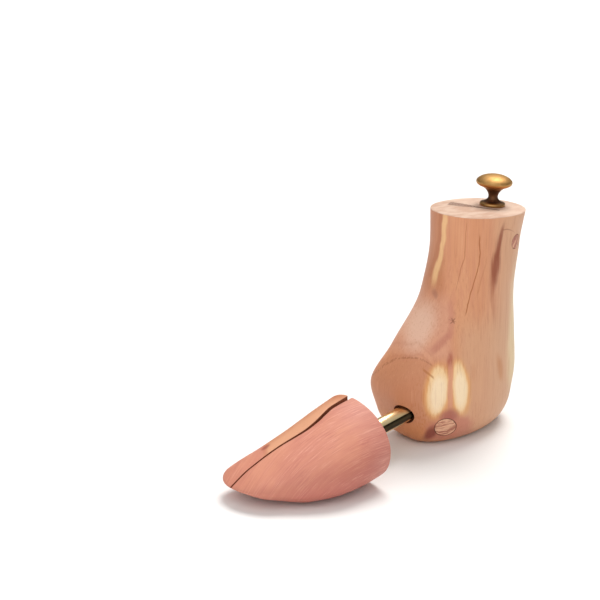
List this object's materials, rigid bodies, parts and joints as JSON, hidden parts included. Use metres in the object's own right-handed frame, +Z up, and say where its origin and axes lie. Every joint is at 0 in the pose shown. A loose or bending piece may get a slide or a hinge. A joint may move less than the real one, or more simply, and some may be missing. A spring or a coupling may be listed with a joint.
{
  "type": "boot tree",
  "caption": "Adjustable cedar boot tree: leg and heel block with a pull knob, sprung tube and a split toe whose halves spread on an upright hinge.",
  "frame": {"origin": "on the flat underside of the heel block, below the leg", "axes": "+X towards the toe, +Y towards the outer side of a left foot, +Z up"},
  "size_m": [0.2727, 0.082, 0.1986],
  "materials": {
    "cedar_block": "bare, sanded",
    "cedar_toe": "bare, sanded",
    "cedar_plug": "bare, sanded",
    "old_brass": "antique, polished on the high spots",
    "bright_brass": "polished",
    "steel": "plain",
    "spring_steel": "plain"
  },
  "bodies": {
    "heel": {"heel_block": "cedar_block", "knot_plug": "cedar_plug", "barrel_nut_plug": "cedar_plug", "barrel_nut": "steel", "knob": "old_brass", "knob_stud": "steel", "anchor_pin": "steel", "spring_seat": "steel"},
    "tube": {"brass_tube": "bright_brass", "spring_stop": "bright_brass", "main_spring": "spring_steel", "spreader_cone": "bright_brass", "spreader_rod": "steel", "return_spring": "spring_steel"},
    "toe_carrier": {"hinge_bar": "steel", "hinge_pin": "steel"},
    "toe_left": {"toe_half_left": "cedar_toe", "hinge_leaf_left": "steel", "leaf_screw_left_front": "bright_brass", "leaf_screw_left_rear": "bright_brass"},
    "toe_right": {"toe_half_right": "cedar_toe", "hinge_leaf_right": "steel", "leaf_screw_right_front": "bright_brass", "leaf_screw_right_rear": "bright_brass"}
  },
  "joints": [
    {"name": "tube_slide", "type": "slide", "parent": "heel", "child": "tube", "axis": [-0.9945, 0, 0.1045], "range_m": [0, 0.024], "stiffness_N_per_m": 900, "springref_m": -0.012, "deforming": ["main_spring"]},
    {"name": "toe_slide", "type": "slide", "parent": "tube", "child": "toe_carrier", "axis": [-0.9945, 0, 0.1045], "range_m": [0, 0.006], "stiffness_N_per_m": 700, "springref_m": -0.008, "deforming": ["return_spring"]},
    {"name": "toe_left_hinge", "type": "hinge", "parent": "toe_carrier", "child": "toe_left", "pos_m": [0.195, -0.01516, 0.015], "axis": [0, 0, -1], "range_deg": [0, 1.62]},
    {"name": "toe_right_hinge", "type": "hinge", "parent": "toe_carrier", "child": "toe_right", "pos_m": [0.195, -0.01516, 0.015], "axis": [0, 0, 1], "range_deg": [0, 1.62]}
  ],
  "couplings": [
    {"joint": "toe_left_hinge", "follows": "toe_slide", "rad_per_m": 4.65},
    {"joint": "toe_right_hinge", "follows": "toe_slide", "rad_per_m": 4.65}
  ]
}
